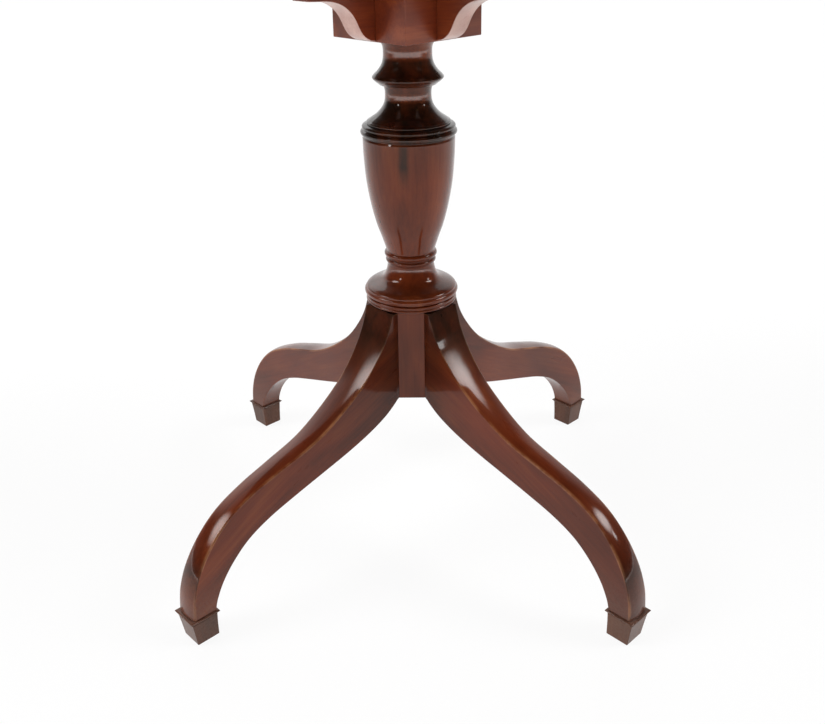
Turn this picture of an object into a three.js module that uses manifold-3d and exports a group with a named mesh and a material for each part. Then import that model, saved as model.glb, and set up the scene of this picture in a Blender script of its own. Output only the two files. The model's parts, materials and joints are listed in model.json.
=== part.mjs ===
// A tilt-top pedestal table: a turned column on four swept legs, a square tilt block with four
// ogee-ended bearer arms, and a top that hinges on the two rear arms and is held by a slide bolt.
// Units are millimetres. +Z is up, the origin is on the floor under the column's axis, and the
// top's long sides lie along X. The legs and the bearer arms lie on the diagonals.
import * as THREE from 'three';
import { mergeVertices } from 'three/addons/utils/BufferGeometryUtils.js';
import Module from 'manifold-3d';

const wasm = await Module();
wasm.setup();

// ---- driving dimensions ---------------------------------------------------------------------

const FIT = 0.3; // clearance between pieces that touch

const TOP = { length: 900, depth: 600, thickness: 20, corner: 55, underside: 712.3 };

const BLOCK = { side: 120, bottom: 640, top: 712 };

const ARM = { width: 26, end: 151, top: 712, tenonWidth: 14, tenonDepth: 18, tenonLow: 655, tenonHigh: 700 };

const POST = { face: 50, legFace: 46.7, bottom: 199.5, top: 315.9, socket: 20.3, socketDepth: 62 };

const COLUMN = { foot: 316.2, head: 639.7, topTenon: 19, topTenonEnd: 710, footTenon: 20, footTenonEnd: 256 };

const LEG = { root: 47, top: 315.6, ankle: 36, tongueRoot: 14, tongueTip: 20, tongueDepth: 13, tongueTop: 296 };

const FOOT = { centre: 341, headCentre: 344.2, base: 28, head: 32.5, height: 31 };

const COLLAR = { top: 36, lip: 36.5 };

const FOOT_TENON = { side: 15, bottom: 12 };

const WEDGE = { bottom: 682, top: 709.5, halfLength: 17, thin: 0.8, thick: 2.2 };

const BRACE = { inradius: 43, thickness: 2.5, screwRadius: 40 };

const HINGE = { y: 120.5, z: 708.9, barrel: 3.1, pin: 1.45, bore: 1.6, plate: 1.7, half: 9.9, middle: 3.3 };

const STRAP = { start: 92, halfWidth: 7, screws: [101, 124] };

const LEAF = { reach: 23, screwX: 5.4, screwY: 14.5 };

const CATCH = { angle: (7 * Math.PI) / 4, top: TOP.underside - FIT };

const CATCH_PLATE = { start: 158, end: 201, width: 26, bottom: CATCH.top - 1.6 };

const LUGS = { starts: [162, 190], length: 5, width: 11, bottom: 701 };

const BOLT = { radius: 3, bore: 3.25, z: 706, tip: 154.5, length: 62 };

const KNOB = { x: 186, stem: 1.4, ball: 3.6, seat: 704.5, neck: 699.5 };

const CATCH_SCREWS = { x: [170.5, 197.8], y: 9.6 };

const KEEPER = { width: 24, thickness: 1.6, bottom: 691.5, top: 710.5, hole: 3.6 };

const KEEPER_SCREWS = { y: 7.5, z: 697 };

const SCREW = {
  brace: { head: 3, shank: 1.5, length: 16 },
  centre: { head: 3.6, shank: 1.8, length: 22 },
  strap: { head: 2.8, shank: 1.4, length: 13 },
  leaf: { head: 2.8, shank: 1.4, length: 12 },
  catch: { head: 2.2, shank: 1.1, length: 10 },
  keeper: { head: 2.4, shank: 1.2, length: 12 },
};

const COLOURS = {
  mahogany: { color: 0x5a2a1c, roughness: 0.25, metalness: 0 },
  turned: { color: 0x4a1f15, roughness: 0.22, metalness: 0 },
  brass: { color: 0xb08a3e, roughness: 0.35, metalness: 1 },
  iron: { color: 0x3a3836, roughness: 0.6, metalness: 1 },
};

const QUARTERS = [
  { name: 'rear_right', angle: Math.PI / 4 },
  { name: 'rear_left', angle: (3 * Math.PI) / 4 },
  { name: 'front_left', angle: (5 * Math.PI) / 4 },
  { name: 'front_right', angle: (7 * Math.PI) / 4 },
];

const table = new THREE.Group();

// ---- shape helpers --------------------------------------------------------------------------

function toSolid(geometry) {
  const bare = geometry.clone();
  bare.deleteAttribute('normal');
  bare.deleteAttribute('uv');
  const merged = mergeVertices(bare, 1e-4);
  const mesh = new wasm.Mesh({
    numProp: 3,
    vertProperties: new Float32Array(merged.attributes.position.array),
    triVerts: new Uint32Array(merged.index.array),
  });
  return new wasm.Manifold(mesh);
}

function toGeometry(solid) {
  const mesh = solid.getMesh();
  const geometry = new THREE.BufferGeometry();
  geometry.setAttribute('position', new THREE.BufferAttribute(new Float32Array(mesh.vertProperties), 3));
  geometry.setIndex(new THREE.BufferAttribute(new Uint32Array(mesh.triVerts), 1));
  geometry.computeVertexNormals();
  return geometry;
}

function join(base, ...others) {
  return toGeometry(others.reduce((solid, other) => solid.add(toSolid(other)), toSolid(base)));
}

function cut(base, ...tools) {
  return toGeometry(tools.reduce((solid, tool) => solid.subtract(toSolid(tool)), toSolid(base)));
}

// A box from its lowest to its highest corner.
function slab(x0, x1, y0, y1, z0, z1) {
  const box = new THREE.BoxGeometry(x1 - x0, y1 - y0, z1 - z0);
  return box.translate((x0 + x1) / 2, (y0 + y1) / 2, (z0 + z1) / 2);
}

// A turned solid about Z, from a profile of [radius, height] that starts and ends on the axis.
function turn(profile, segments) {
  const lathe = new THREE.LatheGeometry(profile.map(([r, z]) => new THREE.Vector2(r, z)), segments);
  return lathe.rotateX(Math.PI / 2);
}

function rod(radius, z0, z1, segments) {
  return turn([[0, z0], [radius, z0], [radius, z1], [0, z1]], segments);
}

// An outline in X and Y, raised from z0 to z1.
function prism(points, z0, z1) {
  const shape = new THREE.Shape(points.map(([x, y]) => new THREE.Vector2(x, y)));
  return new THREE.ExtrudeGeometry(shape, { depth: z1 - z0, bevelEnabled: false }).translate(0, 0, z0);
}

// A closed solid through a list of rings with equal numbers of points, capped at both ends.
function loft(rings) {
  const count = rings[0].length;
  const positions = rings.flat(2);
  const faces = [];
  for (let i = 0; i + 1 < rings.length; i += 1) {
    for (let j = 0; j < count; j += 1) {
      const a = i * count + j;
      const b = i * count + ((j + 1) % count);
      faces.push(a, b, b + count, a, b + count, a + count);
    }
  }
  const last = (rings.length - 1) * count;
  for (let j = 1; j + 1 < count; j += 1) {
    faces.push(0, j + 1, j);
    faces.push(last, last + j, last + j + 1);
  }
  const geometry = new THREE.BufferGeometry();
  geometry.setAttribute('position', new THREE.Float32BufferAttribute(positions, 3));
  geometry.setIndex(faces);
  return geometry;
}

function square(side, z, centre = 0) {
  const h = side / 2;
  return [[centre - h, -h, z], [centre + h, -h, z], [centre + h, h, z], [centre - h, h, z]];
}

function addMesh(parent, name, geometry, colour) {
  geometry.computeVertexNormals();
  const mesh = new THREE.Mesh(geometry, new THREE.MeshStandardMaterial(COLOURS[colour]));
  mesh.name = name;
  parent.add(mesh);
  return mesh;
}

// ---- screws: heads flush at z = 0, shanks pointing along -Z ----------------------------------

const SCREW_SEGMENTS = 8;

function screw({ head, shank, length }) {
  const profile = [[0, -length], [shank, -length + shank], [shank, shank - head], [head, 0], [0, 0]];
  const slot = slab(-head - 1, head + 1, -0.4, 0.4, -0.7, 1);
  return cut(turn(profile, SCREW_SEGMENTS), slot);
}

function screwHole({ head, shank, length }) {
  const gap = FIT / 2;
  const profile = [
    [0, -length - gap],
    [shank + gap, -length + shank - gap],
    [shank + gap, shank - head - gap],
    [head + gap, -gap],
    [head + gap, gap],
    [0, gap],
  ];
  return turn(profile, SCREW_SEGMENTS);
}

// ---- the turned column ----------------------------------------------------------------------

// Points on a quarter turn or other arc in the profile plane, ends included.
function arc(r, z, radius, from, to, steps) {
  const points = [];
  for (let i = 0; i <= steps; i += 1) {
    const angle = THREE.MathUtils.degToRad(from + ((to - from) * i) / steps);
    points.push([r + radius * Math.cos(angle), z + radius * Math.sin(angle)]);
  }
  return points;
}

// A smooth stretch of profile through a few control points.
function sweep(points, steps) {
  const curve = new THREE.SplineCurve(points.map(([r, z]) => new THREE.Vector2(r, z)));
  return curve.getPoints(steps).map((p) => [p.x, p.y]);
}

const COLUMN_SEGMENTS = 24;

// From the foot up: two fillets, a torus, and a dome that sweeps in to a short neck.
function baseProfile() {
  return [
    [COLUMN.footTenon, COLUMN.foot],
    [53.4, COLUMN.foot],
    ...arc(54.8, 319, 1.7, -70, 70, 2),
    ...arc(54.6, 323.4, 1.9, -60, 70, 2),
    [54.2, 326.3],
    ...arc(54.2, 330.2, 4.1, -78, 62, 4),
    [55.4, 336.2],
    [51.4, 338.9],
    [44.9, 341.4],
    [38.9, 343.9],
    [34.6, 347.1],
    [31.9, 351.6],
    [30, 357],
    [28.9, 365.6],
  ];
}

// Two beads, the urn, and the stack of rings that crowns it.
function urnProfile() {
  const urn = [[30, 383], [35.3, 399.5], [41.5, 417.7], [47.6, 442.9], [52.2, 471.1], [54.6, 499], [54.9, 523.4]];
  return [
    ...arc(28, 369.6, 3, -66, 70, 3),
    ...arc(28.6, 377.8, 3.9, -74, 66, 3),
    ...sweep(urn, 8),
    [54.3, 525.4],
    ...arc(54.3, 530.4, 3.2, -62, 76, 3),
    ...arc(53.1, 536.6, 2.5, -62, 80, 3),
    ...arc(48, 541.6, 2, -50, 84, 2),
  ];
}

// The lower neck, the disc with its sharp rim, and the upper neck that meets the block.
function neckProfile() {
  return [
    ...sweep([[46.4, 545], [38, 551], [31.2, 559], [27.9, 567.6], [27.3, 575], [29.2, 585.2]], 6),
    [34.2, 586.1],
    [39, 590],
    [42, 593.6],
    [41.7, 594.9],
    ...sweep([[39.4, 597.6], [35.2, 601.8], [30.9, 608.6], [28.6, 621.6], [31.6, 633]], 5),
    [33.6, COLUMN.head],
    [COLUMN.topTenon, COLUMN.head],
  ];
}

function columnProfile() {
  return [
    [0, COLUMN.footTenonEnd],
    [COLUMN.footTenon, COLUMN.footTenonEnd],
    ...baseProfile(),
    ...urnProfile(),
    ...neckProfile(),
    [COLUMN.topTenon, COLUMN.topTenonEnd],
    [0, COLUMN.topTenonEnd],
  ];
}

// The wedge that spreads the top tenon in the block, wider at its top.
function wedge(extra) {
  const low = WEDGE.thin + extra;
  const high = WEDGE.thick + extra;
  const half = WEDGE.halfLength + extra * 20;
  const base = WEDGE.bottom - extra;
  const crown = WEDGE.top + extra * 10;
  return loft([
    [[-half, -low, base], [half, -low, base], [half, low, base], [-half, low, base]],
    [[-half, -high, crown], [half, -high, crown], [half, high, crown], [-half, high, crown]],
  ]);
}

function addColumn() {
  const turned = turn(columnProfile(), COLUMN_SEGMENTS);
  addMesh(table, 'column', cut(turned, wedge(FIT / 2)), 'turned');
  addMesh(table, 'column_wedge', wedge(0), 'mahogany');
}

// ---- the leg post: an octagonal prism with a dovetail slot down each leg face ----------------

function dovetail(extra) {
  const tip = LEG.root - LEG.tongueDepth - extra;
  return [
    [LEG.root + 2, -LEG.tongueRoot / 2 - extra],
    [LEG.root + 2, LEG.tongueRoot / 2 + extra],
    [LEG.root - FIT, LEG.tongueRoot / 2 + extra],
    [tip, LEG.tongueTip / 2 + extra],
    [tip, -LEG.tongueTip / 2 - extra],
    [LEG.root - FIT, -LEG.tongueRoot / 2 - extra],
  ];
}

function addLegPost() {
  const near = POST.face;
  const narrow = POST.legFace * Math.SQRT2 - near;
  const outline = [];
  for (const { angle } of QUARTERS) {
    const cos = Math.cos(angle - Math.PI / 4);
    const sin = Math.sin(angle - Math.PI / 4);
    for (const [x, y] of [[near, narrow], [narrow, near]]) {
      outline.push([x * cos - y * sin, x * sin + y * cos]);
    }
  }
  const tools = [rod(POST.socket, POST.top - POST.socketDepth, POST.top + 5, 24)];
  for (const { angle } of QUARTERS) {
    tools.push(prism(dovetail(FIT), POST.bottom - 1, LEG.tongueTop + FIT).rotateZ(angle));
  }
  tools.push(screwHole(SCREW.centre).rotateX(Math.PI).translate(0, 0, POST.bottom - BRACE.thickness - FIT));
  addMesh(table, 'leg_post', cut(prism(outline, POST.bottom, POST.top), ...tools), 'mahogany');
}

// ---- the legs -------------------------------------------------------------------------------

// Stations from the post to the ankle: the top edge and the underside as [outward, height],
// and the width there.
const LEG_STATIONS = [
  { top: [54, 315.6], under: [50, 197.6], width: 48 },
  { top: [65, 287], under: [58, 189.4], width: 46 },
  { top: [82, 262], under: [72, 178.8], width: 43.5 },
  { top: [105, 237.5], under: [96, 166.7], width: 41 },
  { top: [141, 210.5], under: [128, 154.2], width: 37.5 },
  { top: [181, 188.5], under: [166, 141.7], width: 33 },
  { top: [226, 174], under: [207, 129.2], width: 29.8 },
  { top: [266, 161], under: [245, 117], width: 28 },
  { top: [301, 144], under: [275.5, 103], width: 27.8 },
  { top: [327, 120.5], under: [298.4, 85], width: 28.6 },
  { top: [346, 92], under: [315, 66], width: 30 },
  { top: [356.2, 63], under: [325, 48], width: 31.4 },
  { top: [359.2, 36], under: [328.6, 36], width: 32 },
];

const LEG_STEPS = 22;

// The top edge is square at the post and grows a crown as it leaves it.
const CROWN = { start: 56, run: 50, rise: 0.125 };

function legRing([topOut, topZ], [underOut, underZ], width) {
  const half = width / 2;
  const ease = THREE.MathUtils.clamp((topOut - CROWN.start) / CROWN.run, 0, 1);
  const drop = new THREE.Vector2(topOut - underOut, topZ - underZ).setLength(CROWN.rise * half * ease);
  return [
    [underOut, -half, underZ],
    [underOut, half, underZ],
    [topOut - drop.x, half, topZ - drop.y],
    [topOut - drop.x / 4, half / 2, topZ - drop.y / 4],
    [topOut, 0, topZ],
    [topOut - drop.x / 4, -half / 2, topZ - drop.y / 4],
    [topOut - drop.x, -half, topZ - drop.y],
  ];
}

function legBody() {
  const line = (pick) => new THREE.SplineCurve(LEG_STATIONS.map((s) => new THREE.Vector2(...pick(s))));
  const top = line((s) => s.top);
  const under = line((s) => s.under);
  const width = line((s) => [s.width, 0]);
  const rings = [legRing([LEG.root, LEG.top], [LEG.root, POST.bottom], LEG_STATIONS[0].width)];
  for (let i = 0; i <= LEG_STEPS; i += 1) {
    const t = i / LEG_STEPS;
    rings.push(legRing(top.getPoint(t).toArray(), under.getPoint(t).toArray(), width.getPoint(t).x));
  }
  return loft(rings);
}

function leg() {
  const tongue = prism(dovetail(0), POST.bottom, LEG.tongueTop);
  const h = FOOT_TENON.side / 2;
  const c = FOOT.headCentre;
  const tenon = slab(c - h, c + h, -h, h, FOOT_TENON.bottom, LEG.ankle + 2);
  const flat = slab(LEG.root - 20, LEG.root + 20, -40, 40, LEG.top, LEG.top + 20);
  const joined = toSolid(legBody()).subtract(toSolid(flat)).add(toSolid(tongue)).add(toSolid(tenon));
  const pilot = screwHole(SCREW.brace).rotateX(Math.PI);
  pilot.translate(BRACE.screwRadius, 0, POST.bottom - BRACE.thickness - FIT);
  return cut(toGeometry(joined), pilot);
}

// A tapered block foot with a mortise for the leg's tenon.
function footBlock() {
  const block = loft([square(FOOT.base, 0, FOOT.centre), square(FOOT.head, FOOT.height, FOOT.headCentre)]);
  const h = FOOT_TENON.side / 2 + FIT;
  const c = FOOT.headCentre;
  return cut(block, slab(c - h, c + h, -h, h, FOOT_TENON.bottom - FIT, FOOT.height + 5));
}

// A thin moulding round the ankle, widest at its lip.
function footCollar() {
  const low = FOOT.height + FIT;
  const lip = COLLAR.top - 2;
  const high = COLLAR.top - FIT;
  const c = FOOT.headCentre;
  const moulding = loft([
    square(FOOT.head, low, c),
    square(FOOT.head + 0.8, low + 1.2, c),
    square(COLLAR.lip, lip, c),
    square(COLLAR.lip, lip + 0.7, c),
    square(FOOT.head, high, c),
  ]);
  const h = FOOT_TENON.side / 2 + FIT;
  return cut(moulding, slab(c - h, c + h, -h, h, low - 5, high + 5));
}

// ---- the bearer arms ------------------------------------------------------------------------

// The side of an arm: a straight top, a square end, and an underside that rises in an ogee.
function armOutline() {
  const face = BLOCK.side / 2 + FIT;
  const outline = new THREE.Shape();
  outline.moveTo(face, BLOCK.bottom + 1);
  outline.lineTo(face + 6, BLOCK.bottom + 2);
  outline.bezierCurveTo(80, 647, 82, 655, 88, 665.5);
  outline.bezierCurveTo(95, 677.5, 108, 686.5, 127, 688);
  outline.lineTo(ARM.end, 689.5);
  outline.lineTo(ARM.end, ARM.top);
  outline.lineTo(face, ARM.top);
  outline.closePath();
  return outline;
}

function arm() {
  const settings = { depth: ARM.width, bevelEnabled: false, curveSegments: 6 };
  const side = new THREE.ExtrudeGeometry(armOutline(), settings);
  side.translate(0, 0, -ARM.width / 2).rotateX(Math.PI / 2);
  const face = BLOCK.side / 2 + FIT;
  const h = ARM.tenonWidth / 2;
  return join(side, slab(face - ARM.tenonDepth, face + 2, -h, h, ARM.tenonLow, ARM.tenonHigh));
}

// The recess that lets a hinge strap into a rear arm's top, and its screws' pilot holes.
function strapRecess(side) {
  const recess = prism(strapOutline(side, FIT), HINGE.z + HINGE.barrel - HINGE.plate - FIT, ARM.top + 5);
  const pilots = STRAP.screws.map((s) => screwHole(SCREW.strap).translate(...strapPoint(side, s, 0), ARM.top));
  return [recess, ...pilots];
}

// The bolt's bore and the keeper screws' pilots in the end of the front right arm.
function keeperHoles() {
  const bore = alongArm(KEEPER.hole + 0.4, ARM.end - 16, ARM.end + 5, 16);
  return [bore, ...[-1, 1].map((way) => keeperScrewAt(screwHole(SCREW.keeper), way))];
}

// ---- each quarter: a leg, its foot, and the arm above it ------------------------------------

function addQuarter({ name, angle }) {
  const quarter = new THREE.Group();
  quarter.rotation.z = angle;
  table.add(quarter);
  addMesh(quarter, `leg_${name}`, leg(), 'mahogany');
  addMesh(quarter, `foot_collar_${name}`, footCollar(), 'turned');
  addMesh(quarter, `foot_block_${name}`, footBlock(), 'turned');
  let bearer = arm();
  if (name.startsWith('rear')) {
    const side = name.endsWith('right') ? 1 : -1;
    bearer = cut(bearer, ...strapRecess(side).map((tool) => tool.rotateZ(-angle)));
  }
  if (name === 'front_right') {
    bearer = cut(bearer, ...keeperHoles());
  }
  addMesh(quarter, `bearer_arm_${name}`, bearer, 'mahogany');
  const fixing = addMesh(quarter, `brace_screw_${name}`, screw(SCREW.brace), 'iron');
  fixing.rotation.x = Math.PI;
  fixing.position.set(BRACE.screwRadius, 0, POST.bottom - BRACE.thickness - FIT);
}

// ---- the tilt block, mortised for the arms and bored for the column's tenon ------------------

function addTiltBlock() {
  const half = BLOCK.side / 2;
  const block = slab(-half, half, -half, half, BLOCK.bottom, BLOCK.top);
  const tools = [rod(COLUMN.topTenon + FIT, BLOCK.bottom - 5, BLOCK.top + 5, 24)];
  const h = ARM.tenonWidth / 2 + FIT;
  for (let i = 0; i < 4; i += 1) {
    const mortise = slab(half - ARM.tenonDepth, half + 5, -h, h, ARM.tenonLow - FIT, ARM.tenonHigh + FIT);
    tools.push(mortise.rotateZ((i * Math.PI) / 2));
  }
  addMesh(table, 'tilt_block', cut(block, ...tools), 'mahogany').rotation.z = Math.PI / 4;
}

// ---- the iron plate under the post that locks the dovetails ----------------------------------

function addBracePlate() {
  const outline = [];
  for (let i = 0; i < 8; i += 1) {
    const angle = Math.PI / 8 + (i * Math.PI) / 4;
    const radius = BRACE.inradius / Math.cos(Math.PI / 8);
    outline.push([radius * Math.cos(angle), radius * Math.sin(angle)]);
  }
  const top = POST.bottom - FIT;
  const face = top - BRACE.thickness;
  const tools = [screwHole(SCREW.centre).rotateX(Math.PI).translate(0, 0, face)];
  for (const { angle } of QUARTERS) {
    tools.push(screwHole(SCREW.brace).rotateX(Math.PI).translate(BRACE.screwRadius, 0, face).rotateZ(angle));
  }
  addMesh(table, 'brace_plate', cut(prism(outline, face, top), ...tools), 'iron');
  const centre = addMesh(table, 'brace_screw_centre', screw(SCREW.centre), 'iron');
  centre.rotation.x = Math.PI;
  centre.position.z = face;
}

// ---- the two strap hinges --------------------------------------------------------------------

// A point on a rear arm's diagonal, outward along it and sideways from it.
function strapPoint(side, outward, sideways) {
  return [side * (outward - sideways) * Math.SQRT1_2, (outward + sideways) * Math.SQRT1_2];
}

// The strap runs along the arm and ends in a line parallel to X at the hinge's axis.
function strapOutline(side, extra) {
  const half = STRAP.halfWidth + extra;
  const reach = (sideways) => HINGE.y * Math.SQRT2 - sideways;
  return [
    strapPoint(side, STRAP.start - extra, -half),
    strapPoint(side, reach(-half), -half),
    strapPoint(side, reach(half), half),
    strapPoint(side, STRAP.start - extra, half),
  ];
}

function knuckle(x, radius, from, to, segments = 14) {
  return rod(radius, from, to, segments).rotateY(Math.PI / 2).translate(x, HINGE.y, HINGE.z);
}

function hingeStrap(side) {
  const x = side * HINGE.y;
  const top = HINGE.z + HINGE.barrel;
  const gap = HINGE.middle + FIT;
  const notch = slab(x - gap, x + gap, HINGE.y - HINGE.barrel - 0.5, HINGE.y + 10, HINGE.z - 10, HINGE.z + 10);
  const plate = cut(prism(strapOutline(side, 0), top - HINGE.plate, top), notch);
  const knuckles = [[-HINGE.half, -gap], [gap, HINGE.half]].map(([a, b]) => knuckle(x, HINGE.barrel, a, b));
  const bore = knuckle(x, HINGE.bore, -HINGE.half - 1, HINGE.half + 1, 12);
  const holes = STRAP.screws.map((s) => screwHole(SCREW.strap).translate(...strapPoint(side, s, 0), top));
  return cut(join(plate, ...knuckles), bore, ...holes);
}

function leafScrewSpots(side) {
  return [-1, 1].map((way) => [side * HINGE.y + way * LEAF.screwX, HINGE.y + LEAF.screwY]);
}

function hingeLeaf(side) {
  const x = side * HINGE.y;
  const top = HINGE.z + HINGE.barrel;
  const plate = slab(x - HINGE.half, x + HINGE.half, HINGE.y, HINGE.y + LEAF.reach, top - HINGE.plate, top);
  const notches = [-1, 1].map((way) => {
    const inner = x + way * HINGE.middle;
    const outer = x + way * (HINGE.half + 5);
    const reach = HINGE.y + HINGE.barrel + 0.5;
    return slab(Math.min(inner, outer), Math.max(inner, outer), HINGE.y - 5, reach, HINGE.z - 10, HINGE.z + 10);
  });
  const barrel = knuckle(x, HINGE.barrel, -HINGE.middle, HINGE.middle);
  const bore = knuckle(x, HINGE.bore, -HINGE.half, HINGE.half, 12);
  const holes = leafScrewSpots(side).map((spot) => leafScrewHole(spot));
  return cut(join(cut(plate, ...notches), barrel), bore, ...holes);
}

// Leaf and catch screws are driven upwards, heads flush with the fitting's lower face.
function leafScrewHole([x, y]) {
  return screwHole(SCREW.leaf).rotateX(Math.PI).translate(x, y, HINGE.z + HINGE.barrel - HINGE.plate);
}

function addHinges() {
  for (const [label, side] of [['left', -1], ['right', 1]]) {
    addMesh(table, `hinge_strap_${label}`, hingeStrap(side), 'brass');
    addMesh(table, `hinge_leaf_${label}`, hingeLeaf(side), 'brass');
    const pin = knuckle(side * HINGE.y, HINGE.pin, -HINGE.half, HINGE.half, 12);
    addMesh(table, `hinge_pin_${label}`, pin, 'brass');
    STRAP.screws.forEach((s, i) => {
      const fixing = addMesh(table, `strap_screw_${label}_${i + 1}`, screw(SCREW.strap), 'brass');
      fixing.position.set(...strapPoint(side, s, 0), HINGE.z + HINGE.barrel);
    });
    leafScrewSpots(side).forEach(([x, y], i) => {
      const fixing = addMesh(table, `leaf_screw_${label}_${i + 1}`, screw(SCREW.leaf), 'brass');
      fixing.rotation.x = Math.PI;
      fixing.position.set(x, y, HINGE.z + HINGE.barrel - HINGE.plate);
    });
  }
}

// ---- the catch on the front right arm, built outward along X and turned on to the diagonal ---

function catchScrewSpots() {
  return CATCH_SCREWS.x.flatMap((x) => [-1, 1].map((way) => [x, way * CATCH_SCREWS.y]));
}

function catchScrewHole([x, y]) {
  return screwHole(SCREW.catch).rotateX(Math.PI).translate(x, y, CATCH_PLATE.bottom);
}

function alongArm(radius, from, to, segments) {
  return rod(radius, from, to, segments).rotateY(Math.PI / 2).translate(0, 0, BOLT.z);
}

function catchPlate() {
  const { start, end, width, bottom } = CATCH_PLATE;
  const lug = LUGS.width / 2;
  const plate = slab(start, end, -width / 2, width / 2, bottom, CATCH.top);
  const lugs = LUGS.starts.map((x) => slab(x, x + LUGS.length, -lug, lug, LUGS.bottom, bottom + 0.8));
  const bore = alongArm(BOLT.bore, start - 5, end + 5, 16);
  return cut(join(plate, ...lugs), bore, ...catchScrewSpots().map(catchScrewHole));
}

function knob() {
  const ball = arc(0, KNOB.neck - 3, KNOB.ball, -90, 60, 6);
  ball[0][0] = 0;
  return turn([...ball, [KNOB.stem, KNOB.neck + 1.2], [KNOB.stem, KNOB.seat], [0, KNOB.seat]], 14);
}

function catchBolt() {
  const end = BOLT.tip + BOLT.length;
  const profile = [
    [0, BOLT.tip],
    [BOLT.radius - 1, BOLT.tip],
    [BOLT.radius, BOLT.tip + 1.5],
    [BOLT.radius, end - 0.8],
    [BOLT.radius - 0.8, end],
    [0, end],
  ];
  const bolt = turn(profile, 16).rotateY(Math.PI / 2).translate(0, 0, BOLT.z);
  const seat = rod(KNOB.stem + FIT / 2, LUGS.bottom - 5, KNOB.seat + FIT, 14).translate(KNOB.x, 0, 0);
  return cut(bolt, seat);
}

function keeperPlate() {
  const x0 = ARM.end + FIT;
  const half = KEEPER.width / 2;
  const plate = slab(x0, x0 + KEEPER.thickness, -half, half, KEEPER.bottom, KEEPER.top);
  const bore = alongArm(KEEPER.hole, x0 - 5, x0 + 5, 16);
  const holes = [-1, 1].map((way) => keeperScrewAt(screwHole(SCREW.keeper), way));
  return cut(plate, bore, ...holes);
}

function keeperScrewAt(geometry, way) {
  const face = ARM.end + FIT + KEEPER.thickness;
  return geometry.rotateY(Math.PI / 2).translate(face, way * KEEPER_SCREWS.y, KEEPER_SCREWS.z);
}

function addCatch() {
  const group = new THREE.Group();
  group.rotation.z = CATCH.angle;
  table.add(group);
  addMesh(group, 'catch_plate', catchPlate(), 'brass');
  addMesh(group, 'catch_bolt', catchBolt(), 'brass');
  addMesh(group, 'catch_knob', knob().translate(KNOB.x, 0, 0), 'brass');
  addMesh(group, 'keeper_plate', keeperPlate(), 'brass');
  [-1, 1].forEach((way, i) => {
    addMesh(group, `keeper_screw_${i + 1}`, keeperScrewAt(screw(SCREW.keeper), way), 'brass');
  });
  catchScrewSpots().forEach(([x, y], i) => {
    const fixing = addMesh(group, `catch_screw_${i + 1}`, screw(SCREW.catch), 'brass');
    fixing.rotation.x = Math.PI;
    fixing.position.set(x, y, CATCH_PLATE.bottom);
  });
}

// ---- the top ---------------------------------------------------------------------------------

const CORNER_STEPS = 6;

// The top's outline, drawn in from its full size by inset, at height z.
function topRing(inset, z) {
  const ring = [];
  const radius = TOP.corner - inset;
  const x = TOP.length / 2 - TOP.corner;
  const y = TOP.depth / 2 - TOP.corner;
  const centres = [[x, y], [-x, y], [-x, -y], [x, -y]];
  centres.forEach(([cx, cy], quarter) => {
    for (let i = 0; i <= CORNER_STEPS; i += 1) {
      const angle = ((quarter + i / CORNER_STEPS) * Math.PI) / 2;
      ring.push([cx + radius * Math.cos(angle), cy + radius * Math.sin(angle), z]);
    }
  });
  return ring;
}

// [inset, height above the underside] up the moulded edge: a hollow below a rounded nose.
const EDGE = [[7, 0], [6.4, 3.5], [3.6, 6.2], [1, 7.6], [0, 10.5], [0, 14.5], [1, 18], [3.4, 20]];

function addTabletop() {
  const board = loft(EDGE.map(([inset, rise]) => topRing(inset, TOP.underside + rise)));
  const pilots = [-1, 1].flatMap((side) => leafScrewSpots(side)).map(leafScrewHole);
  pilots.push(...catchScrewSpots().map((spot) => catchScrewHole(spot).rotateZ(CATCH.angle)));
  addMesh(table, 'tabletop', cut(board, ...pilots), 'mahogany');
}

addTabletop();
addTiltBlock();
addColumn();
addLegPost();
QUARTERS.forEach(addQuarter);
addBracePlate();
addHinges();
addCatch();

export default table;
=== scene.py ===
"""A mahogany tilt-top table: its looks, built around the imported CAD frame. Units are metres."""

import json
import math

import bmesh
import bpy
from mathutils import Matrix, Vector


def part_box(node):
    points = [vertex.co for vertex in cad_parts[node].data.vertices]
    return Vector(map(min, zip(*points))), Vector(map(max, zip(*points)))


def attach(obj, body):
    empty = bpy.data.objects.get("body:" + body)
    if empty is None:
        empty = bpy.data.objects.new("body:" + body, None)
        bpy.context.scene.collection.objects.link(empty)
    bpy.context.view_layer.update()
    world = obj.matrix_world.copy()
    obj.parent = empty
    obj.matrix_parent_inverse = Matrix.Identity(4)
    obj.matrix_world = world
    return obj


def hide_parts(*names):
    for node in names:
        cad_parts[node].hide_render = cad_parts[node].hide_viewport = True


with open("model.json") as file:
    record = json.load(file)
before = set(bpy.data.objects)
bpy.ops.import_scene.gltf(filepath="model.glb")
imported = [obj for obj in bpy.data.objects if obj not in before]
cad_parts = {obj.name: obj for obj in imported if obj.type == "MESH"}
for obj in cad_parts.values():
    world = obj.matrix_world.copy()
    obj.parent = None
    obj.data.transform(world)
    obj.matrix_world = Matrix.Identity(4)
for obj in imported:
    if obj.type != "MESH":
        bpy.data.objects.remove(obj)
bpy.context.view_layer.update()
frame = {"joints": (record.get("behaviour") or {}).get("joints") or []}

MM = 0.001

# The gap between pieces that fit together.
GAP = 0.3 * MM

# The directions of the legs and arms, in degrees from X.
QUARTERS = {"rear_right": 45, "rear_left": 135, "front_left": 225, "front_right": 315}

# ---- places, read from the frame


def low(node):
    return Vector(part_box(node)[0])


def high(node):
    return Vector(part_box(node)[1])


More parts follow.
